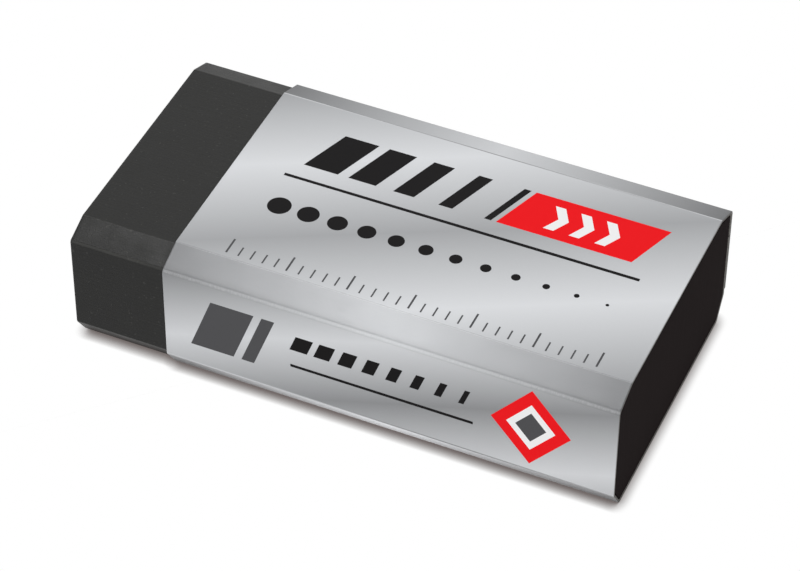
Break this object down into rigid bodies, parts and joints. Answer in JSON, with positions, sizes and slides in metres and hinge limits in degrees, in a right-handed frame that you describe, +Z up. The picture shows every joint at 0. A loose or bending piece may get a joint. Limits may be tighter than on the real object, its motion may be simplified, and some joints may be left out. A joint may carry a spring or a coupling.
{
  "type": "vinyl eraser",
  "caption": "Bevelled block of black vinyl in a folded, glued card sleeve that slides along it, leaving one end bare for rubbing out.",
  "frame": {"origin": "middle of the footprint, on the surface that the sleeve's bottom panel rests on", "axes": "+X along the block towards the end that is level with the sleeve, +Y towards the glued seam side, +Z up"},
  "size_m": [0.045, 0.0242, 0.0117],
  "materials": {
    "black_vinyl": "matt extruded vinyl",
    "silver_card": "satin metallised and printed"
  },
  "bodies": {
    "block": {"block": "black_vinyl"},
    "sleeve": {"sleeve": "silver_card"}
  },
  "joints": [
    {"name": "sleeve_slide", "type": "slide", "parent": "block", "child": "sleeve", "axis": [1, 0, 0], "range_m": [-0.008, 0.018]}
  ]
}
